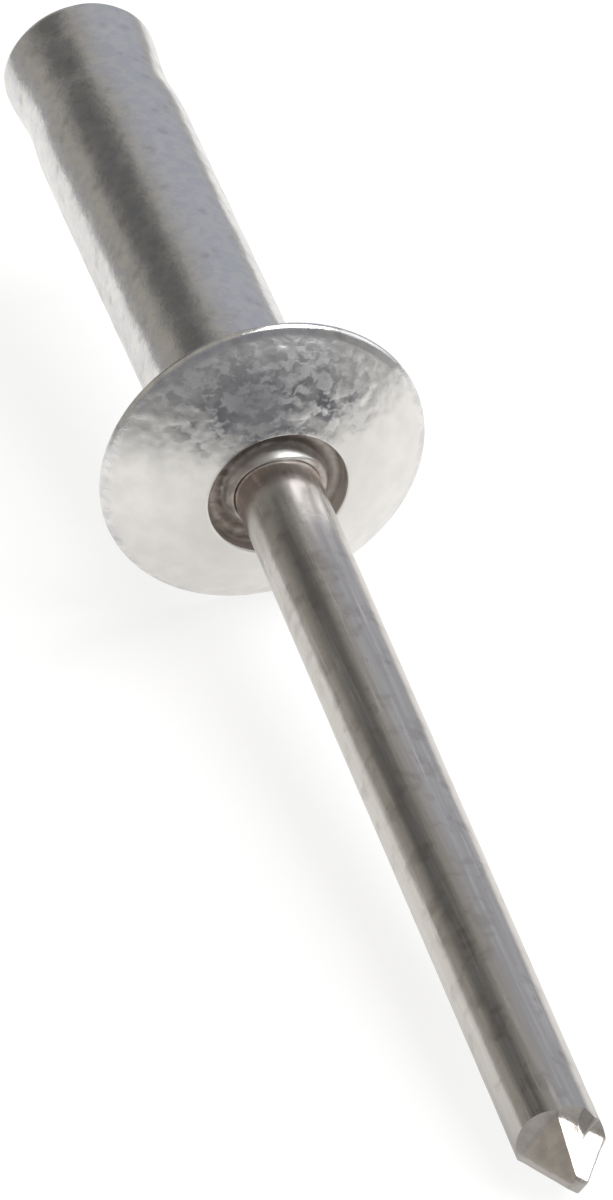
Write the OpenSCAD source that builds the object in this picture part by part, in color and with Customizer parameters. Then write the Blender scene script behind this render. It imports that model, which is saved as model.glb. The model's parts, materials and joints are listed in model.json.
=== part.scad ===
// Closed-end blind rivet with a domed head, unset, lying on its head and the point of its mandrel.
// Millimetres. Both pieces are drawn upright on the rivet's own axis, with the underside of the
// head at height 0, the closed end below it and the mandrel above it. laid() then lays them down.

/* [Shank] */
// Diameter of the shank that goes through the drilled hole
shank_d = 4.8; // [4.2:0.1:6.4]
// Length of the shank from the underside of the head to its closed end
shank_len = 20.4; // [14:0.1:30]
// Thickness of the closed end
end_wall = 1.9; // [0.8:0.1:3]
// Length of the formed stretch that ends the shank
formed_len = 4.6; // [3.5:0.1:6]
// How far the formed stretch draws in at its waist
waist_in = 0.1; // [0:0.01:0.2]
// How far the closed end swells out past the shank
swell_out = 0.03; // [0:0.01:0.1]
// Rounding of the edge of the closed end
end_round = 0.35; // [0.1:0.05:0.7]

/* [Head] */
// Diameter of the domed head
head_d = 10.2; // [8.5:0.1:14]
// Height of the straight rim under the dome
rim_h = 0.24; // [0.16:0.02:0.6]
// Rounding of both edges of the rim
rim_round = 0.06; // [0.02:0.01:0.07]
// Width of the flat land between the rim's rounding and the foot of the dome
rim_land = 0.03; // [0.01:0.01:0.2]
// Rise of the whole dome above the rim
dome_rise = 1.9; // [1.4:0.05:2.6]
// Fillet between the shank and the underside of the head
neck_fillet = 0.15; // [0.05:0.05:0.4]

/* [Staked ring in the head] */
// Wall of the lip that is pressed in around the mandrel
lip_wall = 0.22; // [0.14:0.02:0.4]
// Width of the groove around the lip
groove_w = 0.58; // [0.3:0.02:0.8]
// Depth of the groove below its outer edge
groove_depth = 0.6; // [0.35:0.05:0.8]
// How far the top of the lip lies below the outer edge of the groove
lip_drop = 0.12; // [0:0.02:0.3]
// Height above the underside of the head at which the pressed-in hole begins
hole_start = -0.2; // [-0.6:0.1:0.4]

/* [Mandrel] */
// Diameter of the mandrel
mandrel_d = 2.67; // [2.2:0.01:3]
// Reach of the mandrel from the underside of the head to its blunt tip
mandrel_reach = 35; // [26:0.5:60]
// Sideways lean of the mandrel where it leaves the head, in degrees
mandrel_lean = 1.1; // [0.2:0.1:3]
// Height above the underside of the head at which it leans over
bend_height = 2; // [1.9:0.1:3]

/* [Mandrel head and break neck, inside the shank] */
// How far the mandrel's own head stands out from its shank all round
head_step = 0.26; // [0.1:0.02:0.4]
// Length of the mandrel's own head
mandrel_head_len = 3; // [2:0.1:4]
// Height of the cone under the mandrel's own head
head_cone = 0.5; // [0.2:0.1:1]
// Diameter of the neck at which the mandrel breaks
neck_d = 1.75; // [1.4:0.05:2]
// Distance from the mandrel's own head to the middle of the neck
neck_from_head = 1.1; // [0.8:0.1:2]

/* [Mandrel point] */
// Slope of the four pinched faces to the mandrel's axis, in degrees
point_slope = 25; // [15:1:40]
// Width of the blunt tip across its faces
point_flat = 0.45; // [0.2:0.05:0.8]
// How far the tip lies off the mandrel's axis
point_off = 0.12; // [0:0.01:0.25]
// Turn of the lowest corner of the point from straight down, in degrees
point_turn = 7.4; // [0:0.1:15]

/* [Fits] */
// Gap between the mandrel and the pressed-in hole, all round
hole_gap = 0.04; // [0.03:0.01:0.1]
// Gap between the mandrel's own head and the bore, all round and at the end
bore_gap = 0.05; // [0.02:0.01:0.1]

/* [Hidden] */
$fn = 96;

shank_r = shank_d / 2;
waist_r = shank_r - waist_in;
end_r = shank_r + swell_out;
waist_from_end = formed_len / 2;
swell_len = formed_len / 5;

head_r = head_d / 2;
dome_foot_r = head_r - rim_round - rim_land;
dome_r = (dome_foot_r ^ 2 + dome_rise ^ 2) / (2 * dome_rise);
dome_centre = rim_h + dome_rise - dome_r;

mandrel_r = mandrel_d / 2;
mandrel_head_r = mandrel_r + head_step;
bore_r = mandrel_head_r + bore_gap;
bore_floor = end_wall - shank_len;
hole_r = mandrel_r + hole_gap;
hole_taper = bore_r - hole_r;

lip_r = hole_r + lip_wall;
groove_r = lip_r + groove_w;
groove_edge = dome_centre + sqrt(dome_r ^ 2 - groove_r ^ 2);
groove_floor = groove_edge - groove_depth;
lip_top = groove_edge - lip_drop;
spare = 1;
above_head = rim_h + dome_rise + spare;

mandrel_head_bottom = bore_floor + bore_gap;
mandrel_head_top = mandrel_head_bottom + mandrel_head_len;
neck_height = mandrel_head_top + head_cone + neck_from_head;
neck_depth = mandrel_r - neck_d / 2;
// Blocks that cut the mandrel reach well past it on every side
block = 6 * mandrel_d;

// The straight stretch beyond the bend, measured along itself
straight_len = (mandrel_reach - bend_height) / cos(mandrel_lean);
// The four faces meet in corners, which spread from the tip at corner_spread for each unit back
tip_corner_r = point_flat / 2 / cos(45);
corner_spread = tan(point_slope) / cos(45);
lowest_corner_back = (mandrel_r - point_off - tip_corner_r) / corner_spread;

// The rivet rests on the front edge of its rim and on the lowest corner of the point
rim_edge_r = head_r - rim_round;
rim_edge_height = rim_h - rim_round;
point_rest_r = mandrel_r * cos(point_turn);
point_rest_height = mandrel_reach - lowest_corner_back * cos(mandrel_lean);
rest_fall = rim_edge_r - point_rest_r;
rest_span = point_rest_height - rim_edge_height;
lay_tilt = acos(-rim_round / norm([rest_fall, rest_span])) - atan2(rest_span, rest_fall);
lay_height = rim_edge_height * sin(lay_tilt) + rim_edge_r * cos(lay_tilt) + rim_round;
// Both ends along the ground, from the middle of the underside of the head
rear_reach = (shank_len - end_round) * cos(lay_tilt) + (end_r - end_round) * sin(lay_tilt) + end_round;
front_reach = mandrel_reach * cos(lay_tilt);

// Lies the upright rivet down: its axis points along +X with the mandrel's tip low, and straight
// down becomes the drawing's own +X. The origin ends up under the middle of the whole rivet.
module laid() {
    translate([(rear_reach - front_reach) / 2, 0, lay_height])
        rotate([0, 90 + lay_tilt, 0])
            children();
}

// Rounds off one corner of a half section. The metal lies from the corner towards [side, up].
module round_off(corner, side, up, r) {
    translate(corner)
        difference() {
            square(2 * r, center = true);
            translate([side * r, up * r])
                circle(r);
        }
}

// Half section of the solid blank: a shank whose end is drawn in and then swells where it was
// closed, and a head that is still a straight cylinder
module blank_section() {
    polygon([
        [0, -shank_len],
        [end_r, -shank_len],
        [end_r, swell_len - shank_len],
        [waist_r, waist_from_end - shank_len],
        [shank_r, formed_len - shank_len],
        [shank_r, -neck_fillet],
        [shank_r + neck_fillet, -neck_fillet],
        [shank_r + neck_fillet, 0],
        [head_r, 0],
        [head_r, above_head],
        [0, above_head]
    ]);
}

// Half section of what forming takes off the blank: all above the dome, and the sharp corners
module formed_away_section() {
    difference() {
        translate([0, rim_h])
            square([head_r + spare, above_head]);
        translate([0, dome_centre])
            circle(dome_r);
    }
    round_off([head_r, rim_h], -1, -1, rim_round);
    round_off([head_r, 0], -1, 1, rim_round);
    round_off([end_r, -shank_len], -1, 1, end_round);
    translate([shank_r + neck_fillet, -neck_fillet])
        circle(neck_fillet);
}

// Half section of all that is hollow: the blind bore, the pressed-in hole, and the staked groove
module hollow_section() {
    polygon([
        [0, bore_floor],
        [bore_r, bore_floor],
        [bore_r, hole_start - hole_taper],
        [hole_r, hole_start],
        [hole_r, above_head],
        [0, above_head]
    ]);
    translate([lip_r, groove_floor + groove_w / 2])
        square([groove_w, above_head]);
    translate([lip_r + groove_w / 2, groove_floor + groove_w / 2])
        circle(groove_w / 2);
    translate([0, lip_top])
        square([lip_r + groove_w / 2, above_head]);
    round_off([hole_r, lip_top], 1, -1, lip_wall / 2);
    round_off([lip_r, lip_top], -1, -1, lip_wall / 2);
}

// One piece of aluminium: closed shank, domed head, and the lip that grips the mandrel
module rivet_body() {
    color("lightgray")
        laid()
            rotate_extrude()
                difference() {
                    blank_section();
                    formed_away_section();
                    hollow_section();
                }
}

// Half section of the coaxial stretch of the mandrel, with its own head and its break neck
module inner_mandrel_section() {
    polygon([
        [0, mandrel_head_bottom],
        [mandrel_r, mandrel_head_bottom],
        [mandrel_head_r, mandrel_head_bottom + head_step],
        [mandrel_head_r, mandrel_head_top],
        [mandrel_r, mandrel_head_top + head_cone],
        [mandrel_r, neck_height - neck_depth],
        [neck_d / 2, neck_height],
        [mandrel_r, neck_height + neck_depth],
        [mandrel_r, bend_height + mandrel_r],
        [0, bend_height + mandrel_r]
    ]);
}

// A block on one side of the plane in which the two stretches of the mandrel meet at the bend
module beyond_bend(side) {
    translate([0, 0, bend_height])
        rotate([mandrel_lean / 2, 0, 0])
            translate([0, 0, side * block / 2])
                cube(block, center = true);
}

// The four faces that pinch the wire off, as the material that they take away
module pinched_away() {
    rotate(point_turn)
        translate([point_off, 0, straight_len])
            for (side = [0:3])
                rotate(45 + 90 * side)
                    translate([point_flat / 2, 0, 0])
                        rotate([0, -point_slope, 0])
                            translate([block / 2, 0, 0])
                                cube(block, center = true);
}

// One piece of steel wire: headed inside the shank, kinked slightly where it leaves the rivet's
// head, and pinched to a blunt point
module mandrel() {
    color("gray")
        laid() {
            difference() {
                rotate_extrude()
                    inner_mandrel_section();
                beyond_bend(1);
            }
            difference() {
                translate([0, 0, bend_height])
                    rotate([mandrel_lean, 0, 0])
                        difference() {
                            translate([0, 0, -mandrel_r])
                                cylinder(r = mandrel_r, h = straight_len + mandrel_r);
                            pinched_away();
                        }
                beyond_bend(-1);
            }
        }
}

rivet_body();
mandrel();
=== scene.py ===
import json
import math

import bpy
from mathutils import Matrix, Vector


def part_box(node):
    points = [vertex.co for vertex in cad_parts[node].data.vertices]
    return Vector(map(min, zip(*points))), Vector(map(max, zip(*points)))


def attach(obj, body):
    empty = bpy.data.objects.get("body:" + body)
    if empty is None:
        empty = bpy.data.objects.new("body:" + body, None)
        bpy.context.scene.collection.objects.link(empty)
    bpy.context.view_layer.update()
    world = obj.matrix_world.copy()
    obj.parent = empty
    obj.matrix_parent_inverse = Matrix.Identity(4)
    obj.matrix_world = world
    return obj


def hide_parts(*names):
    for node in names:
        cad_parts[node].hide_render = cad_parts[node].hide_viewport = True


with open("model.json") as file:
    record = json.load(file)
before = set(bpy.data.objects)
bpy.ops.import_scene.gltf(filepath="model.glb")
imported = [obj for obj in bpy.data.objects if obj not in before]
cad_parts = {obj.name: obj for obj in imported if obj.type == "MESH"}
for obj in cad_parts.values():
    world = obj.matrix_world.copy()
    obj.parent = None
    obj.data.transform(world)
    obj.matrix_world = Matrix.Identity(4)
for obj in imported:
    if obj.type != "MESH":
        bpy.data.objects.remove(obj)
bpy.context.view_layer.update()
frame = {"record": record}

# ---------------------------------------------------------------------------------------------
# The rivet body: one cold-formed piece of aluminium. A closed shank, whose end is drawn in a
# little and then swells, carries a domed head with a groove staked into it around a thin lip.
# It is turned upright on its axis, hammered uneven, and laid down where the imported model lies.
mm = 0.001
mounts = {mount["name"]: mount for mount in frame["record"]["mounts"]}
along = -Vector(mounts["head_seat"]["axis"]).normalized()
on_axis = Vector(mounts["shank"]["pos_m"])
under_head = on_axis + along * (Vector(mounts["head_seat"]["pos_m"]) - on_axis).dot(along)
laid_down = Matrix.Translation(under_head) @ along.to_track_quat("Z", "Y").to_matrix().to_4x4()

shank_r = mounts["shank"]["dims"]["r_mm"]
shank_len = 20.4
formed_len = 4.6
waist_in = 0.1
waist_pace = 1.02
swell_out = 0.03
swell_pace = 3
end_round = 0.35
neck_fillet = 0.15
head_r = (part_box("rivet_body")[1].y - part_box("rivet_body")[0].y) / 2 / mm
rim_h = 0.24
rim_round = 0.04
dome_foot_r = head_r - 0.09
rim_corner = 0.24
dome_rise = 1.9
hole_r = 1.375
hole_start = -0.2
lip_width = 0.22
lip_slant = 0.12
lip_drop = 0.12
crest_round = 0.05
groove_width = 0.58
groove_round = 0.08
groove_depth = 0.6
bore_r = 1.645
bore_start = -0.47
end_wall = 1.9

lip_r = hole_r + lip_width
lip_foot_r = lip_r + lip_slant
groove_r = lip_r + groove_width
dome_r = (dome_foot_r ** 2 + dome_rise ** 2) / (2 * dome_rise)
dome_centre = rim_h + dome_rise - dome_r
groove_edge = dome_centre + math.sqrt(dome_r ** 2 - groove_r ** 2)
groove_floor = groove_edge - groove_depth
lip_top = groove_edge - lip_drop
floor_round = (groove_r - lip_foot_r) / 2
groove_corner_drop = 1.2 * groove_round
corner_r = head_r - rim_corner
corner_height = dome_centre + math.sqrt((dome_r - rim_corner) ** 2 - corner_r ** 2)
dome_foot_turn = math.degrees(math.acos(corner_r / (dome_r - rim_corner)))
dome_edge_turn = math.degrees(math.acos((groove_r + groove_round) / dome_r))


def arc(centre_r, centre_z, radius, start, end, steps):
    """Points of a round stretch of an outline, with angles in degrees from the outward direction."""
    turns = [math.radians(start + (end - start) * step / steps) for step in range(steps + 1)]
    return [(centre_r + radius * math.cos(turn), centre_z + radius * math.sin(turn)) for turn in turns]


def stretch(start, end, steps):
    """Points along a straight stretch of an outline, without its first point."""
    shares = [step / steps for step in range(1, steps + 1)]
    return [(start[0] + (end[0] - start[0]) * s, start[1] + (end[1] - start[1]) * s) for s in shares]


def turn_on_axis(name, outline, steps_round):
    """Draws a half outline point by point, in millimetres, and spins it round the axis."""
    bpy.ops.object.select_all(action="DESELECT")
    bpy.ops.mesh.primitive_plane_add(size=mm, location=(0, 0, 0))
    piece = bpy.context.object
    piece.name = name
    bpy.ops.object.mode_set(mode="EDIT")
    bpy.ops.mesh.select_all(action="SELECT")
    bpy.ops.mesh.merge(type="CENTER")
    pen = Vector((0, 0, 0))
    for index, (radius, height) in enumerate(outline):
        point = Vector((radius * mm, 0, height * mm))
        if index == 0:
            bpy.ops.transform.translate(value=point - pen)
        else:
            bpy.ops.mesh.extrude_region_move(TRANSFORM_OT_translate={"value": point - pen})
        pen = point
    bpy.ops.mesh.select_all(action="SELECT")
    bpy.ops.mesh.spin(steps=steps_round, angle=math.tau, center=(0, 0, 0), axis=(0, 0, 1))
    bpy.ops.mesh.select_all(action="SELECT")
    bpy.ops.mesh.remove_doubles(threshold=0.0005 * mm)
    bpy.ops.mesh.normals_make_consistent(inside=False)
    bpy.ops.object.mode_set(mode="OBJECT")
    return piece


def fade(value, low, high):
    """Rises smoothly from 0 at one value to 1 at another."""
    share = max(0, min(1, (value - low) / (high - low)))
    return share * share * (3 - 2 * share)


def dent(piece, name, size, depth, depth_at, hard=False):
    """Pushes a skin in by a cloudy pattern, by the share that depth_at gives for a point's place."""
    group = piece.vertex_groups.new(name=name)
    for vertex in piece.data.vertices:
        radius = math.hypot(vertex.co.x, vertex.co.y) / mm
        share = depth_at(radius, vertex.co.z / mm, vertex.co.y / mm)
        if share > 0:
            group.add([vertex.index], share, "REPLACE")
    pattern = bpy.data.textures.new(name, "CLOUDS")
    pattern.noise_scale = size * mm
    pattern.noise_depth = 1
    pattern.noise_type = "HARD_NOISE" if hard else "SOFT_NOISE"
    dents = piece.modifiers.new(name, "DISPLACE")
    dents.texture = pattern
    dents.texture_coords = "LOCAL"
    dents.strength = depth * mm
    dents.mid_level = 1
    dents.vertex_group = name
    bpy.context.view_layer.objects.active = piece
    bpy.ops.object.modifier_apply(modifier=name)


def lay_down(piece):
    """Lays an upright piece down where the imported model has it, with its place in its mesh."""
    piece.matrix_world = laid_down
    bpy.ops.object.select_all(action="DESELECT")
    piece.select_set(True)
    bpy.context.view_layer.objects.active = piece
    bpy.ops.object.transform_apply(location=True, rotation=True, scale=True)


# The closed end. Its swelling dies out in the first third of the formed stretch, and its waist
# just before the far end of it
end_flat_r = shank_r + swell_out - end_round
formed_steps = 30
outline = [(0, -shank_len)]
outline += stretch(outline[0], (end_flat_r, -shank_len), 20)
outline += arc(end_flat_r, end_round - shank_len, end_round, -90, 0, 10)[1:]
for step in range(1, formed_steps + 1):
    share = step / formed_steps
    rise = end_round + (formed_len - end_round) * share
    narrowing = waist_in * math.sin(math.pi * min(1, share * waist_pace)) ** 2
    swelling = swell_out * max(0, 1 - swell_pace * share)
    outline.append((shank_r + swelling - narrowing, rise - shank_len))

# The shank, the underside of the head, its rim, and the dome up to the groove
outline += stretch((shank_r, formed_len - shank_len), (shank_r, -neck_fillet), 80)
outline += arc(shank_r + neck_fillet, -neck_fillet, neck_fillet, 180, 90, 6)[1:]
outline += stretch((shank_r + neck_fillet, 0), (head_r - rim_round, 0), 14)
outline += arc(head_r - rim_round, rim_round, rim_round, -90, 0, 4)[1:]
outline += arc(corner_r, corner_height, rim_corner, 0, dome_foot_turn, 7)
outline += arc(0, dome_centre, dome_r, dome_foot_turn, dome_edge_turn, 44)[1:]

# The groove with its round floor, the slanted wall and crest of the lip, the hole and the bore
outline += arc(groove_r + groove_round, groove_edge - groove_corner_drop, groove_round, 80, 180, 6)
outline += arc(lip_foot_r + floor_round, groove_floor + floor_round, floor_round, 0, -150, 14)
crest = arc(hole_r + crest_round, lip_top - crest_round, crest_round, 40, 180, 8)
outline += stretch(outline[-1], crest[0], 12) + crest[1:]
outline += stretch((hole_r, lip_top - crest_round), (hole_r, hole_start), 6)
outline += [(bore_r, bore_start), (bore_r, end_wall - shank_len), (0, end_wall - shank_len)]
body = turn_on_axis("closed_end_body", outline, 288)

# The staking tool has drawn the lip up against the mandrel on one side, spread it on the next, and
# pressed it in a little all round. A roll is counted from the upper side to the rivet's left
shaped_from = lip_top - 0.45
drawn_up = 0.2
drawn_up_roll = math.radians(12)
spread_out = 0.12
spread_roll = math.radians(78)
pressed_in = 0.03
for vertex in body.data.vertices:
    radius = math.hypot(vertex.co.x, vertex.co.y) / mm
    height = vertex.co.z / mm
    if radius < lip_foot_r + floor_round and height > shaped_from:
        roll = math.atan2(vertex.co.x, vertex.co.y)
        near_top = fade(height, shaped_from, lip_top - 0.1)
        inward = fade(radius, lip_foot_r, hole_r + crest_round)
        raised = drawn_up * max(0, math.cos(roll - drawn_up_roll)) ** 1.5 * near_top * inward
        off_hole = min(1, (radius - hole_r) / (0.5 * lip_width))
        spread = spread_out * max(0, math.cos(roll - spread_roll)) ** 2 * near_top * off_hole
        pressed = pressed_in * near_top * inward
        vertex.co.z += raised * mm
        vertex.co.x *= 1 + (spread - pressed) / radius
        vertex.co.y *= 1 + (spread - pressed) / radius

# Knocks and drag marks: an uneven shank, a lumpy end, flakes lifted from the upper side of the
# dome, and a groove torn by the staking tool. Each stays on its own stretch of the skin
dent(
    body, "wavy_shank", size=1.2, depth=0.035,
    depth_at=lambda r, h, up: fade(h, -0.3, -0.8) * fade(r, 1.8, 2.2),
)
dent(
    body, "lumpy_end", size=1.6, depth=0.03,
    depth_at=lambda r, h, up: fade(h, -15, -19.5) * fade(r, 1.8, 2.2),
)
dent(
    body, "peel_on_dome", size=0.5, depth=0.04, hard=True,
    depth_at=lambda r, h, up: fade(h, rim_h - 0.05, rim_h + 0.15)
    * fade(r, groove_r + 0.1, groove_r + 0.3) * (0.12 + 0.88 * fade(up, 1.1, 2.7)),
)
dent(
    body, "torn_groove", size=0.4, depth=0.1,
    depth_at=lambda r, h, up: fade(h, groove_floor - 0.1, groove_floor)
    * fade(r, lip_r - 0.05, lip_r + 0.1) * fade(r, groove_r + 0.05, groove_r - 0.1)
    * fade(h, groove_edge, groove_edge - 0.2),
)
lay_down(body)
bpy.ops.object.shade_smooth_by_angle(angle=math.radians(50))


def add_node(tree, kind, settings=None, values=None):
    """Adds a node, with its settings by attribute and its unlinked inputs by name or place."""
    made = tree.nodes.new(kind)
    for name, setting in (settings or {}).items():
        setattr(made, name, setting)
    for name, value in (values or {}).items():
        made.inputs[name].default_value = value
    return made


def new_group(name, takes, gives):
    """A shader node group with named sockets, given as pairs of a name and a socket type."""
    group = bpy.data.node_groups.new(name, "ShaderNodeTree")
    for label, kind in takes:
        group.interface.new_socket(name=label, in_out="INPUT", socket_type=kind)
    for label, kind in gives:
        group.interface.new_socket(name=label, in_out="OUTPUT", socket_type=kind)
    return group, group.nodes.new("NodeGroupInput"), group.nodes.new("NodeGroupOutput")


def add_range(tree, source, low, high, to_low=0.0, to_high=1.0):
    """Maps a value from one range to another, smoothly and not past its ends."""
    made = add_node(tree, "ShaderNodeMapRange", {"interpolation_type": "SMOOTHSTEP"}, {
        "From Min": low, "From Max": high, "To Min": to_low, "To Max": to_high,
    })
    tree.links.new(source, made.inputs["Value"])
    return made.outputs["Result"]


def add_math(tree, operation, *values):
    """Combines values, each a socket or a number."""
    made = add_node(tree, "ShaderNodeMath", {"operation": operation})
    for index, value in enumerate(values):
        if isinstance(value, (int, float)):
            made.inputs[index].default_value = value
        else:
            tree.links.new(value, made.inputs[index])
    return made.outputs[0]


def add_mix(tree, share, first, second):
    """Mixes two colours, each a socket or a colour."""
    made = add_node(tree, "ShaderNodeMix", {"data_type": "RGBA"})
    tree.links.new(share, made.inputs["Factor"])
    for name, value in (("A", first), ("B", second)):
        socket = next(i for i in made.inputs if i.name == name and i.type == "RGBA")
        if isinstance(value, tuple):
            socket.default_value = (*value, 1)
        else:
            tree.links.new(value, socket)
    return next(o for o in made.outputs if o.type == "RGBA")


def add_bump(tree, height, depth, below=None):
    """Raises the skin by a pattern, so many millimetres deep, over another bump if one is given."""
    made = add_node(tree, "ShaderNodeBump", values={"Strength": 1, "Distance": depth * mm})
    tree.links.new(height, made.inputs["Height"])
    if below:
        tree.links.new(below, made.inputs["Normal"])
    return made.outputs["Normal"]


# Where a point is on the rivet, in millimetres: its place, with X along the axis from the underside
# of the head, Y sideways and Z up, the same three as Height, Side and Up, and how far off the axis
place_group, taken, given = new_group(
    "place_on_rivet",
    [("Object", "NodeSocketVector")],
    [
        ("Place", "NodeSocketVector"), ("Height", "NodeSocketFloat"), ("Side", "NodeSocketFloat"),
        ("Up", "NodeSocketFloat"), ("Radius", "NodeSocketFloat"),
    ],
)
fall = math.atan2(-along.z, along.x)
to_rivet = add_node(place_group, "ShaderNodeMapping", values={
    "Location": Matrix.Rotation(-fall, 3, "Y") @ under_head * (-1 / mm),
    "Rotation": (0, -fall, 0),
    "Scale": (1 / mm, 1 / mm, 1 / mm),
})
flattened = add_node(place_group, "ShaderNodeVectorMath", {"operation": "MULTIPLY"}, {1: (0, 1, 1)})
from_axis = add_node(place_group, "ShaderNodeVectorMath", {"operation": "LENGTH"})
split = add_node(place_group, "ShaderNodeSeparateXYZ")
place_group.links.new(taken.outputs["Object"], to_rivet.inputs["Vector"])
place_group.links.new(to_rivet.outputs[0], given.inputs["Place"])
place_group.links.new(to_rivet.outputs[0], flattened.inputs[0])
place_group.links.new(to_rivet.outputs[0], split.inputs[0])
place_group.links.new(split.outputs["X"], given.inputs["Height"])
place_group.links.new(split.outputs["Y"], given.inputs["Side"])
place_group.links.new(split.outputs["Z"], given.inputs["Up"])
place_group.links.new(flattened.outputs[0], from_axis.inputs[0])
place_group.links.new(from_axis.outputs["Value"], given.inputs["Radius"])

# Lines that drawing leaves along the metal
lines_group, taken, given = new_group(
    "draw_lines",
    [
        ("Place", "NodeSocketVector"), ("Lines per mm", "NodeSocketFloat"),
        ("Shortness", "NodeSocketFloat"),
    ],
    [("Lines", "NodeSocketFloat")],
)
stretched = add_node(lines_group, "ShaderNodeCombineXYZ", values={"Y": 1, "Z": 1})
drawn = add_node(lines_group, "ShaderNodeVectorMath", {"operation": "MULTIPLY"})
streaks = add_node(lines_group, "ShaderNodeTexNoise", values={"Detail": 3, "Roughness": 0.6})
lines_group.links.new(taken.outputs["Shortness"], stretched.inputs["X"])
lines_group.links.new(taken.outputs["Place"], drawn.inputs[0])
lines_group.links.new(stretched.outputs[0], drawn.inputs[1])
lines_group.links.new(drawn.outputs[0], streaks.inputs["Vector"])
lines_group.links.new(taken.outputs["Lines per mm"], streaks.inputs["Scale"])
lines_group.links.new(streaks.outputs["Fac"], given.inputs["Lines"])

# Soft blotches of thicker and thinner oxide with small dark specks in them, a fine grain, and
# scales, wider than they are high, like the flakes of a lifted skin
warp_depth = 0.35
scale_share = 0.32
mottle_share = 0.68
oxide_group, taken, given = new_group(
    "oxide",
    [("Place", "NodeSocketVector"), ("Blotches per mm", "NodeSocketFloat")],
    [
        ("Blotches", "NodeSocketFloat"), ("Specks", "NodeSocketFloat"), ("Grain", "NodeSocketFloat"),
        ("Scales", "NodeSocketFloat"),
    ],
)
blotches = add_node(oxide_group, "ShaderNodeTexNoise", values={
    "Detail": 3, "Roughness": 0.55, "Distortion": 0.2,
})
grain = add_node(oxide_group, "ShaderNodeTexNoise", values={"Scale": 9, "Detail": 2, "Roughness": 0.6})
specks = add_node(oxide_group, "ShaderNodeTexVoronoi", values={"Scale": 1.7, "Randomness": 1})
for pattern in (blotches, grain, specks):
    oxide_group.links.new(taken.outputs["Place"], pattern.inputs["Vector"])
oxide_group.links.new(taken.outputs["Blotches per mm"], blotches.inputs["Scale"])
oxide_group.links.new(blotches.outputs["Fac"], given.inputs["Blotches"])
oxide_group.links.new(grain.outputs["Fac"], given.inputs["Grain"])
few = add_range(oxide_group, blotches.outputs["Fac"], 0.44, 0.62)
small = add_range(oxide_group, specks.outputs["Distance"], 0.55, 0)
oxide_group.links.new(add_math(oxide_group, "MULTIPLY", few, small), given.inputs["Specks"])
warp = add_node(oxide_group, "ShaderNodeTexNoise", values={"Scale": 3.4, "Detail": 1})
warped = add_node(oxide_group, "ShaderNodeVectorMath", {"operation": "MULTIPLY_ADD"}, {
    1: (warp_depth, warp_depth, warp_depth),
})
widened = add_node(oxide_group, "ShaderNodeVectorMath", {"operation": "MULTIPLY"}, {1: (1, 0.7, 1.2)})
scales = add_node(oxide_group, "ShaderNodeTexVoronoi", {"feature": "SMOOTH_F1"}, {
    "Scale": 2.8, "Randomness": 1, "Smoothness": 1,
})
scale_tone = add_node(oxide_group, "ShaderNodeSeparateColor")
mottle = add_node(oxide_group, "ShaderNodeTexNoise", values={
    "Scale": 3, "Detail": 2, "Roughness": 0.55, "Distortion": 0.2,
})
oxide_group.links.new(taken.outputs["Place"], warp.inputs["Vector"])
oxide_group.links.new(warp.outputs["Color"], warped.inputs[0])
oxide_group.links.new(taken.outputs["Place"], warped.inputs[2])
oxide_group.links.new(warped.outputs[0], widened.inputs[0])
oxide_group.links.new(widened.outputs[0], scales.inputs["Vector"])
oxide_group.links.new(widened.outputs[0], mottle.inputs["Vector"])
oxide_group.links.new(scales.outputs["Color"], scale_tone.inputs[0])
mottled = add_range(oxide_group, mottle.outputs["Fac"], 0.34, 0.66, 0, mottle_share)
mottled_scales = add_math(
    oxide_group, "MULTIPLY_ADD", scale_tone.outputs["Red"], scale_share, mottled
)
oxide_group.links.new(mottled_scales, given.inputs["Scales"])


def new_metal(name):
    """A bare metal with the three groups in it. Its colour, roughness and relief come after."""
    material = bpy.data.materials.new(name)
    material.use_nodes = True
    tree = material.node_tree
    shader = tree.nodes["Principled BSDF"]
    shader.inputs["Metallic"].default_value = 1
    coordinates = add_node(tree, "ShaderNodeTexCoord")
    place = add_node(tree, "ShaderNodeGroup", {"node_tree": place_group})
    lines = add_node(tree, "ShaderNodeGroup", {"node_tree": lines_group})
    oxide = add_node(tree, "ShaderNodeGroup", {"node_tree": oxide_group})
    tree.links.new(coordinates.outputs["Object"], place.inputs["Object"])
    tree.links.new(place.outputs["Place"], lines.inputs["Place"])
    tree.links.new(place.outputs["Place"], oxide.inputs["Place"])
    return material, tree, shader, place, lines, oxide


groove_metal = (0.73, 0.72, 0.7)
bright_metal = (0.81, 0.8, 0.785)
cloudy_metal = (0.7, 0.7, 0.705)
dull_scales = (0.66, 0.66, 0.685)
dark_specks = (0.52, 0.51, 0.5)
stain_under_flakes = (0.2, 0.2, 0.22)
stain_on_flakes = (0.75, 0.75, 0.755)
smear_colour = (0.42, 0.42, 0.45)
smear_place = (1.6, -0.7, 2.9)
old_dirt = (0.3, 0.25, 0.22)
worn_dirt = (0.66, 0.58, 0.53)
thinnest_dirt = (0.86, 0.8, 0.76)
dark_dirt_and_shade = (0.14, 0.118, 0.1)
painted_rim_shade = (0.45, 0.45, 0.455)

aluminium, tree, shader, place, lines, oxide = new_metal("cold_formed_aluminium")
lines.inputs["Lines per mm"].default_value = 6
lines.inputs["Shortness"].default_value = 0.06
oxide.inputs["Blotches per mm"].default_value = 1.6
height, radius = place.outputs["Height"], place.outputs["Radius"]
side, up = place.outputs["Side"], place.outputs["Up"]
blotchy, scaly = oxide.outputs["Blotches"], oxide.outputs["Scales"]

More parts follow.
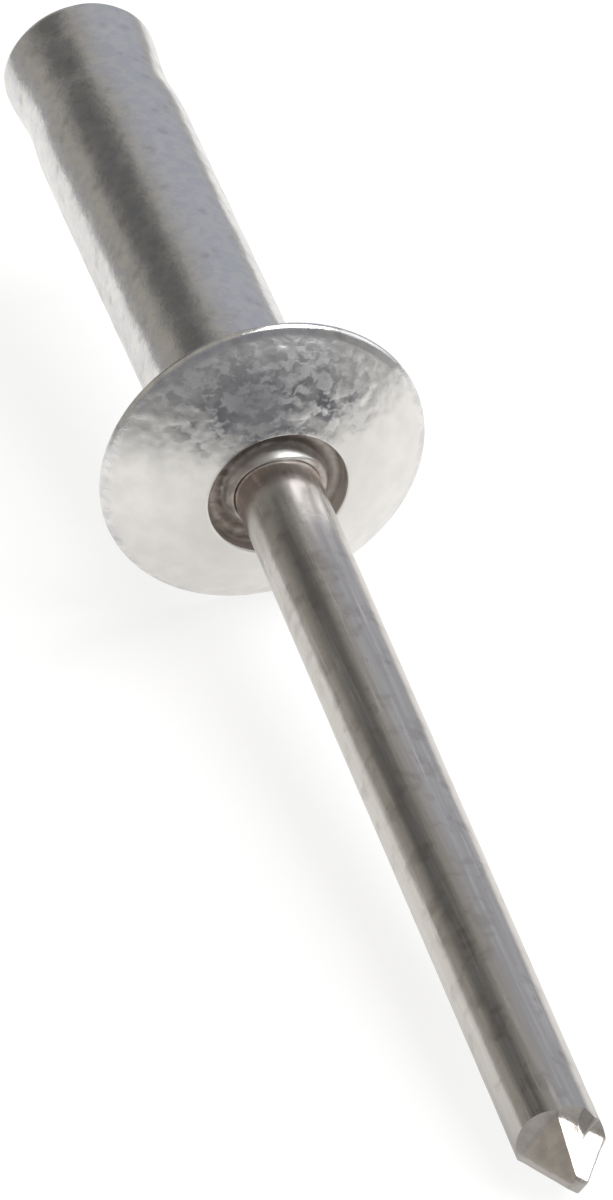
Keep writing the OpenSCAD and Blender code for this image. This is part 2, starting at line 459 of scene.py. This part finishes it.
# Stains with a ragged lower edge on the upper side of the dome, where the heading tool has lifted
# its skin
on_dome = add_range(tree, height, rim_h, rim_h + 0.2)
off_dome = add_math(tree, "SUBTRACT", 1, on_dome)
ragged = add_math(tree, "MULTIPLY_ADD", blotchy, 2, up)
ragged = add_math(tree, "MULTIPLY_ADD", add_math(tree, "MULTIPLY", side, side), -0.05, ragged)
upper = add_math(tree, "MULTIPLY", on_dome, add_range(tree, ragged, 2, 4))
peeling = add_math(tree, "MULTIPLY", on_dome, add_range(tree, up, 1.4, 3))
stain = add_math(tree, "MULTIPLY", upper, add_range(tree, blotchy, 0.34, 0.6, 0.5, 1))
stain = add_math(tree, "MULTIPLY", stain, add_range(tree, radius, 4.8, 3, 0.35, 1))

# Grime in the groove and on both sides of the lip
in_groove = add_math(
    tree, "MULTIPLY",
    add_range(tree, radius, groove_r + 0.02, groove_r - 0.06),
    add_range(tree, radius, lip_r, lip_r + 0.1),
)
in_groove = add_math(tree, "MULTIPLY", in_groove, on_dome)
dirty_side = add_range(tree, side, -0.2, -1.2, 0, 0.85)
dull_side = add_range(tree, side, 0.8, 1.25, 0, 0.9)
on_lip = add_math(
    tree, "MULTIPLY",
    add_range(tree, radius, lip_r + 0.25, lip_r + 0.15),
    add_math(tree, "MAXIMUM", dirty_side, dull_side),
)
on_lip = add_math(tree, "MULTIPLY", on_lip, add_range(tree, height, lip_top - 0.3, lip_top - 0.1))
grime = add_math(tree, "MAXIMUM", in_groove, on_lip)

# The metal itself: cloudy and specked, with dull scales on the shank, and rubbed bright where the
# dome isn't stained
not_polished = add_range(tree, add_math(tree, "MAXIMUM", upper, off_dome), 0, 1, 0.35, 1)
cloudy = add_math(tree, "MULTIPLY", add_range(tree, blotchy, 0.3, 0.7), not_polished)
metal = add_mix(tree, add_range(tree, radius, 2, 4.2), groove_metal, bright_metal)
metal = add_mix(tree, cloudy, metal, cloudy_metal)
scaled = add_math(tree, "MULTIPLY", off_dome, add_range(tree, scaly, 0.25, 0.75))
metal = add_mix(tree, scaled, metal, dull_scales)
speckled = add_math(tree, "MULTIPLY", oxide.outputs["Specks"], off_dome)
metal = add_mix(tree, speckled, metal, dark_specks)

# The stains, and a grey smear across them
stained = add_mix(tree, add_range(tree, scaly, 0.25, 0.75), stain_under_flakes, stain_on_flakes)
metal = add_mix(tree, stain, metal, stained)
from_smear = add_node(tree, "ShaderNodeVectorMath", {"operation": "DISTANCE"}, {1: smear_place})
tree.links.new(place.outputs["Place"], from_smear.inputs[0])
smear = add_range(tree, from_smear.outputs["Value"], 1.7, 0.3, 0, 0.75)
metal = add_mix(tree, add_math(tree, "MULTIPLY", smear, upper), metal, smear_colour)

# The grime is thinnest on the rivet's left. At the foot of the lip on the upper side it is darkened by
# painted shade, and it is darker along the edge of the groove on the lower side
dirt = add_mix(tree, scaly, old_dirt, worn_dirt)
dirt = add_mix(tree, add_range(tree, side, 0.8, 1.7, 0, 0.55), dirt, thinnest_dirt)
high_up = add_range(tree, up, 0.6, 1.5)
shade_at_lip_foot = add_range(tree, radius, lip_foot_r + 0.15, lip_foot_r, 0, 0.75)
darker_at_groove_edge = add_range(tree, radius, groove_r - 0.25, groove_r - 0.05, 0, 0.55)
# Painted shade at the foot of the lip on the upper side, and darker dirt along the groove's edge on the
# lower side
shade_and_dark_edge = add_math(
    tree, "ADD",
    add_math(tree, "MULTIPLY", high_up, shade_at_lip_foot),
    add_math(tree, "MULTIPLY", add_math(tree, "SUBTRACT", 1, high_up), darker_at_groove_edge),
)
dirt = add_mix(tree, shade_and_dark_edge, dirt, dark_dirt_and_shade)
metal = add_mix(tree, grime, metal, dirt)

# One short stretch of the rim's corner is rougher and painted darker, a painted shade that dims a
# lamp's glint there
rim_glint_dimmed = add_math(
    tree, "MULTIPLY",
    add_range(tree, radius, head_r - 0.27, head_r - 0.19),
    add_range(tree, side, 1.9, 2.5, 0, 0.8),
)
rim_glint_dimmed = add_math(tree, "MULTIPLY", rim_glint_dimmed, add_range(tree, up, 2.6, 3.2))
metal = add_mix(tree, rim_glint_dimmed, metal, painted_rim_shade)
tree.links.new(metal, shader.inputs["Base Color"])

# Roughness: the dome is duller than the shank, and grime is the dullest and the least metallic
rough = add_range(tree, blotchy, 0.3, 0.7, 0.16, 0.26)
rough = add_math(tree, "ADD", rough, add_math(tree, "MULTIPLY", on_dome, 0.14))
rough = add_math(tree, "ADD", rough, add_math(tree, "MULTIPLY", upper, 0.06))
rough_there = add_math(tree, "MAXIMUM", grime, rim_glint_dimmed)
rough = add_math(tree, "MAXIMUM", rough, add_math(tree, "MULTIPLY", rough_there, 0.5))
tree.links.new(rough, shader.inputs["Roughness"])
bare = add_math(tree, "SUBTRACT", 1, add_math(tree, "MULTIPLY", grime, 0.6))
tree.links.new(bare, shader.inputs["Metallic"])

# Relief, from the draw lines and the broad unevenness to the flakes and the grain
relief = add_bump(tree, add_math(tree, "MULTIPLY", lines.outputs["Lines"], off_dome), 0.0006)
uneven = add_math(
    tree, "ADD", add_math(tree, "MULTIPLY", off_dome, 0.22), add_range(tree, peeling, 0, 1, 0.06, 0.4)
)
relief = add_bump(tree, add_math(tree, "MULTIPLY", blotchy, uneven), 0.035, relief)
lifted = add_math(tree, "MULTIPLY_ADD", off_dome, 0.24, add_math(tree, "MULTIPLY", peeling, 0.42))
relief = add_bump(tree, add_math(tree, "MULTIPLY", scaly, lifted), 0.014, relief)
grainy = add_math(tree, "MULTIPLY", oxide.outputs["Grain"], not_polished)
relief = add_bump(tree, grainy, 0.003, relief)
tree.links.new(relief, shader.inputs["Normal"])
body.data.materials.append(aluminium)
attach(body, "root")
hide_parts("rivet_body")

# ---------------------------------------------------------------------------------------------
# The mandrel: one piece of drawn steel wire, headed inside the shank, notched to a break neck,
# kinked slightly where it leaves the lip, and pinched off to a four-sided point, torn on one face.
mandrel_r = mounts["mandrel_stem"]["dims"]["r_mm"]
bend_height = 2
reach = 35.0
stem_lean = Vector(mounts["mandrel_stem"]["axis"]).angle(along)
head_gap = 0.05
head_bottom = end_wall - shank_len + head_gap
head_len = 3
head_step = 0.26
head_cone = 0.5
neck_r = 0.875
neck_from_head = 1.1
point_slope = math.radians(22.5)
point_flat = 0.45
point_off = 0.12
point_turn = math.radians(7.4)
point_len = 3
pinched_len = 2.6
curl_from = 1.65
curl = 3
tear_depth = 0.35
tear_side = -0.2
tear_half = 0.32
ridge_round = 0.12
worn_round = 0.4
nib_round = 0.1
root_share = 0.72
halvings = 24

neck_height = head_bottom + head_len + head_cone + neck_from_head
neck_depth = mandrel_r - neck_r
stem_end = bend_height + (reach - bend_height) / math.cos(stem_lean)
outline = [
    (0, head_bottom),
    (mandrel_r, head_bottom),
    (mandrel_r + head_step, head_bottom + head_step),
    (mandrel_r + head_step, head_bottom + head_len),
    (mandrel_r, head_bottom + head_len + head_cone),
    (mandrel_r, neck_height - neck_depth),
    (neck_r, neck_height),
    (mandrel_r, neck_height + neck_depth),
]
outline += stretch(outline[-1], (mandrel_r, bend_height), 20)
outline += stretch(outline[-1], (mandrel_r, stem_end - point_len), 80)
outline += stretch(outline[-1], (mandrel_r, stem_end), 75) + [(0, stem_end)]
mandrel = turn_on_axis("steel_mandrel", outline, 192)
dent(
    mandrel, "wavy_wire", size=1.4, depth=0.012,
    depth_at=lambda r, h, up: fade(h, lip_top, lip_top + 1.5),
)


def soft_least(first, second, width):
    """The smaller of two values, rounded off where they come closer than a width."""
    near = max(0, 1 - abs(first - second) / width)
    return min(first, second) - near * near * width / 4


# The pincers' four faces meet in a small square off the wire's axis. All but the third curl up
# steeply at their roots, the first is torn there, and the ridge that rubs on the floor is worn
# round
nib = Matrix.Rotation(point_turn, 2) @ Vector((0, -point_off))
ways = [Matrix.Rotation(point_turn + math.radians(45 + 90 * k), 2) @ Vector((1, 0)) for k in range(4)]
torn_side = Matrix.Rotation(math.radians(90), 2) @ ways[0]


def reach_at(way, below):
    """How far from the axis the four faces let the metal reach, in a direction, below the end."""
    tear = tear_depth * max(0, 1 - abs(way.dot(torn_side) * mandrel_r - tear_side) / tear_half)
    near_end = max(0, nib_round - below)
    limits = []
    for side in range(4):
        steep_from = curl_from - tear if side == 0 else curl_from
        opening = point_flat / 2 + below * math.tan(point_slope)
        opening += curl * max(0, below - steep_from) ** 2 if side != 2 else 0
        opening -= nib_round - math.sqrt(nib_round ** 2 - near_end ** 2)
        facing = max(0.1, way.dot(ways[side]))
        limits.append((nib.dot(ways[side]) + opening) / facing)
    worn = soft_least(limits[1], limits[2], worn_round)
    return soft_least(soft_least(limits[0], limits[3], ridge_round), worn, ridge_round)


# Every point of the stem's end is drawn in to the faces. The root, where a face leaves the wire,
# is found by halving and kept for each turn, and the rows of points are shared out on its two sides
roots = {}
for vertex in mandrel.data.vertices:
    radius = math.hypot(vertex.co.x, vertex.co.y) / mm
    share = (stem_end - vertex.co.z / mm) / point_len
    if share < 1 and radius > 0:
        way = vertex.co.xy.normalized()
        turn = round(math.atan2(way.y, way.x), 4)
        if turn not in roots:
            low, high = 0, point_len
            for halving in range(halvings):
                middle = (low + high) / 2
                low, high = (middle, high) if reach_at(way, middle) < mandrel_r else (low, middle)
            roots[turn] = low
        root = roots[turn]
        below = root * share / root_share
        if share > root_share + 0.001:
            below = root + (point_len - root) * (share - root_share) / (1 - root_share)
        cut = min(mandrel_r, reach_at(way, below))
        vertex.co = (way.x * cut * mm, way.y * cut * mm, (stem_end - below) * mm)
dent(
    mandrel, "pinched", size=0.35, depth=0.015,
    depth_at=lambda r, h, up: fade(h, stem_end - 2.3, stem_end - 2)
    * fade(r, mandrel_r, mandrel_r - 0.1),
)
for polygon in mandrel.data.polygons:
    off_axis = math.hypot(polygon.center.x, polygon.center.y) / mm
    pinched = polygon.center.z > (stem_end - pinched_len) * mm and off_axis < mandrel_r - 0.01
    polygon.material_index = 1 if pinched else 0

# The kink: all that stands above it leans over
bpy.ops.object.select_all(action="DESELECT")
mandrel.select_set(True)
for vertex in mandrel.data.vertices:
    vertex.select = vertex.co.z > bend_height * mm + 1e-7
bpy.ops.object.mode_set(mode="EDIT")
bpy.ops.transform.rotate(
    value=stem_lean, orient_axis="Y", center_override=(0, 0, bend_height * mm), orient_type="GLOBAL"
)
bpy.ops.object.mode_set(mode="OBJECT")
lay_down(mandrel)
bpy.ops.object.shade_smooth_by_angle(angle=math.radians(35))

steel_between_lines = (0.55, 0.528, 0.505)
steel_on_lines = (0.63, 0.612, 0.59)
browned_steel = (0.5, 0.475, 0.45)
dark_specks = (0.45, 0.42, 0.395)
rubbed_steel = (0.74, 0.705, 0.68)
highlight_steel = (0.95, 0.885, 0.85)

# The drawn wire: browned in blotches, rubbed along some of its lines, and painted lighter where it
# leaves the lip, a painted highlight
steel, tree, shader, place, lines, oxide = new_metal("drawn_steel")
lines.inputs["Lines per mm"].default_value = 5
lines.inputs["Shortness"].default_value = 0.03
oxide.inputs["Blotches per mm"].default_value = 1.2
streaky, blotchy = lines.outputs["Lines"], oxide.outputs["Blotches"]
metal = add_mix(tree, add_range(tree, streaky, 0.35, 0.65), steel_between_lines, steel_on_lines)
metal = add_mix(tree, add_range(tree, blotchy, 0.5, 0.68), metal, browned_steel)
metal = add_mix(tree, oxide.outputs["Specks"], metal, dark_specks)
rubbed = add_math(
    tree, "MULTIPLY", add_range(tree, streaky, 0.58, 0.7), add_range(tree, blotchy, 0.42, 0.56)
)
metal = add_mix(tree, rubbed, metal, rubbed_steel)
# Painted highlight: the steel is lighter just above the lip, fading out by 1.9 mm above it
painted_highlight_at_lip = add_range(tree, place.outputs["Height"], lip_top + 1.9, lip_top + 0.5)
metal = add_mix(tree, painted_highlight_at_lip, metal, highlight_steel)
tree.links.new(metal, shader.inputs["Base Color"])
tree.links.new(add_range(tree, streaky, 0.3, 0.7, 0.2, 0.28), shader.inputs["Roughness"])
relief = add_bump(tree, streaky, 0.0012)
relief = add_bump(tree, blotchy, 0.008, relief)
relief = add_bump(tree, oxide.outputs["Grain"], 0.0015, relief)
tree.links.new(relief, shader.inputs["Normal"])
mandrel.data.materials.append(steel)

fresh_steel = (0.7, 0.66, 0.625)
smudged_steel = (0.57, 0.54, 0.51)
worn_ridge = (0.76, 0.73, 0.7)

# The faces of the point: fresh metal with smudges, and bright along the ridge that rubs
pinched_steel, tree, shader, place, lines, oxide = new_metal("pinched_steel")
lines.inputs["Lines per mm"].default_value = 9
lines.inputs["Shortness"].default_value = 0.25
oxide.inputs["Blotches per mm"].default_value = 2
streaky, blotchy = lines.outputs["Lines"], oxide.outputs["Blotches"]
metal = add_mix(tree, add_range(tree, blotchy, 0.35, 0.65), fresh_steel, smudged_steel)
on_ridge = add_math(
    tree, "MULTIPLY",
    add_range(tree, place.outputs["Up"], 0.15, -0.15),
    add_range(tree, place.outputs["Side"], 0.1, -0.1),
)
metal = add_mix(tree, on_ridge, metal, worn_ridge)
tree.links.new(metal, shader.inputs["Base Color"])
tree.links.new(add_range(tree, streaky, 0.3, 0.7, 0.2, 0.34), shader.inputs["Roughness"])
relief = add_bump(tree, streaky, 0.004)
relief = add_bump(tree, blotchy, 0.01, relief)
tree.links.new(relief, shader.inputs["Normal"])
mandrel.data.materials.append(pinched_steel)
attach(mandrel, "root")
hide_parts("mandrel")

# ---------------------------------------------------------------------------------------------
# The studio: a white floor with a pool of light painted on it, a wide soft box high on the
# rivet's left, one beside it, and dim grey surroundings that are darkest high up behind it.
pool_length = 43 * mm
pool_width = 42 * mm
pool_place = Vector((-19, 8, 0)) * mm
pool_turn = math.radians(142)
floor_grey = (0.35, 0.35, 0.35)
lamp_white = (1, 0.98, 0.945)
black = (0, 0, 0)
white = (1, 1, 1)
bpy.ops.object.select_all(action="DESELECT")
bpy.ops.mesh.primitive_plane_add(size=6, location=(0, 0, 0))
floor = bpy.context.object
floor.name = "white_floor"
floor_paint = bpy.data.materials.new("white_floor_paint")
floor_paint.use_nodes = True
tree = floor_paint.node_tree
tree.nodes.clear()
coordinates = add_node(tree, "ShaderNodeTexCoord")
to_pool = add_node(tree, "ShaderNodeMapping", {"vector_type": "TEXTURE"}, {
    "Location": pool_place,
    "Rotation": (0, 0, pool_turn),
    "Scale": (pool_length, pool_width, 1),
})
tree.links.new(coordinates.outputs["Object"], to_pool.inputs["Vector"])
from_pool = add_node(tree, "ShaderNodeVectorMath", {"operation": "LENGTH"})
tree.links.new(to_pool.outputs[0], from_pool.inputs[0])
# The painted pool of light: 1 inside it, falling to 0.42 outside
painted_pool_light = add_range(tree, from_pool.outputs["Value"], 0.78, 1.25, 1, 0.42)

# The pool of light is painted: inside it the paint is lighter, taking the lamps' light and the rivet's
# shadow. A glow adds what is missing to white in view, and lets the metal mirror the painted pool
seen = add_node(tree, "ShaderNodeLightPath")
mirrored = add_math(tree, "MAXIMUM", seen.outputs["Is Glossy Ray"], seen.outputs["Is Transmission Ray"])
paint = add_node(tree, "ShaderNodeBsdfDiffuse")
pale = add_mix(tree, painted_pool_light, black, floor_grey)
tree.links.new(pale, paint.inputs["Color"])
missing = add_math(tree, "SUBTRACT", 1.05, add_math(tree, "MULTIPLY", painted_pool_light, 0.3))
white_in_view = add_math(tree, "MULTIPLY", seen.outputs["Is Camera Ray"], missing)
white_in_metal = add_math(tree, "MULTIPLY", mirrored, add_math(tree, "MULTIPLY", painted_pool_light, 0.72))
glow = add_node(tree, "ShaderNodeEmission")
tint = add_mix(tree, seen.outputs["Is Camera Ray"], lamp_white, white)
tree.links.new(tint, glow.inputs["Color"])
tree.links.new(add_math(tree, "ADD", white_in_view, white_in_metal), glow.inputs["Strength"])
painted_glow = add_node(tree, "ShaderNodeAddShader")
tree.links.new(paint.outputs[0], painted_glow.inputs[0])
tree.links.new(glow.outputs[0], painted_glow.inputs[1])
output = add_node(tree, "ShaderNodeOutputMaterial")
tree.links.new(painted_glow.outputs[0], output.inputs["Surface"])
floor.data.materials.append(floor_paint)


def add_soft_box(name, azimuth, elevation, distance, width, height, radiance):
    """An area lamp that faces the rivet, of the brightness that its own surface is to have."""
    turn, rise = math.radians(azimuth), math.radians(elevation)
    level = math.cos(rise)
    towards_lamp = Vector((level * math.cos(turn), level * math.sin(turn), math.sin(rise)))
    lamp = bpy.data.lights.new(name, "AREA")
    lamp.shape = "RECTANGLE"
    lamp.size, lamp.size_y = width, height
    lamp.energy = radiance * math.pi * width * height
    box = bpy.data.objects.new(name, lamp)
    box.location = towards_lamp * distance
    box.rotation_euler = towards_lamp.to_track_quat("Z", "Y").to_euler()
    box.visible_camera = False
    bpy.context.scene.collection.objects.link(box)


add_soft_box(
    "high_soft_box", azimuth=75, elevation=60, distance=0.7, width=0.65, height=0.5, radiance=3.2
)
add_soft_box(
    "side_soft_box", azimuth=98, elevation=19, distance=0.7, width=0.4, height=0.3, radiance=2.65
)

wall_grey = (0.405, 0.387, 0.35)
front_grey = (0.27, 0.272, 0.285)
back_grey = (0.47, 0.48, 0.52)
darkest_grey = (0.14, 0.137, 0.133)
world = bpy.data.worlds.new("dim_studio")
bpy.context.scene.world = world
world.use_nodes = True
tree = world.node_tree
direction = add_node(tree, "ShaderNodeTexCoord").outputs["Generated"]


def add_patch(below, colour, towards, inner, outer):
    """Lays a soft round patch of a colour over the surroundings, full up to the inner angle."""
    facing = add_node(tree, "ShaderNodeVectorMath", {"operation": "DOT_PRODUCT"})
    facing.inputs[1].default_value = Vector(towards).normalized()
    tree.links.new(direction, facing.inputs[0])
    patch = add_range(
        tree, facing.outputs["Value"], math.cos(math.radians(outer)), math.cos(math.radians(inner))
    )
    return add_mix(tree, patch, below, colour)


surroundings = add_patch(wall_grey, front_grey, towards=(1, 0, 0.1), inner=20, outer=75)
surroundings = add_patch(surroundings, back_grey, towards=(-0.6, 0.75, 0.3), inner=20, outer=60)
surroundings = add_patch(
    surroundings, darkest_grey, towards=(-0.683, -0.415, 0.602), inner=3, outer=27
)
tree.links.new(surroundings, tree.nodes["Background"].inputs["Color"])

# ---------------------------------------------------------------------------------------------
# The camera: a long lens, high in front of the rivet and to its right. It looks at a place just
# below and to the right of the underside of the head.
camera_elevation = math.radians(32.205)
camera_azimuth = math.radians(-16.397)
camera_distance = 700 * mm
aim_right = 1.350
aim_down = 4.275
towards_camera = Vector((
    math.cos(camera_elevation) * math.cos(camera_azimuth),
    math.cos(camera_elevation) * math.sin(camera_azimuth),
    math.sin(camera_elevation),
))
picture_right = Vector((0, 0, 1)).cross(towards_camera).normalized()
picture_up = towards_camera.cross(picture_right)
aim = under_head + picture_right * aim_right * mm - picture_up * aim_down * mm
lens = bpy.data.cameras.new("camera")
lens.lens = 697
lens.sensor_width = 36
lens.clip_start = 0.05
lens.clip_end = 10
camera = bpy.data.objects.new("camera", lens)
camera.location = aim + towards_camera * camera_distance
camera.rotation_euler = towards_camera.to_track_quat("Z", "Y").to_euler()
bpy.context.scene.collection.objects.link(camera)
bpy.context.scene.camera = camera
bpy.context.scene.view_settings.view_transform = "Standard"
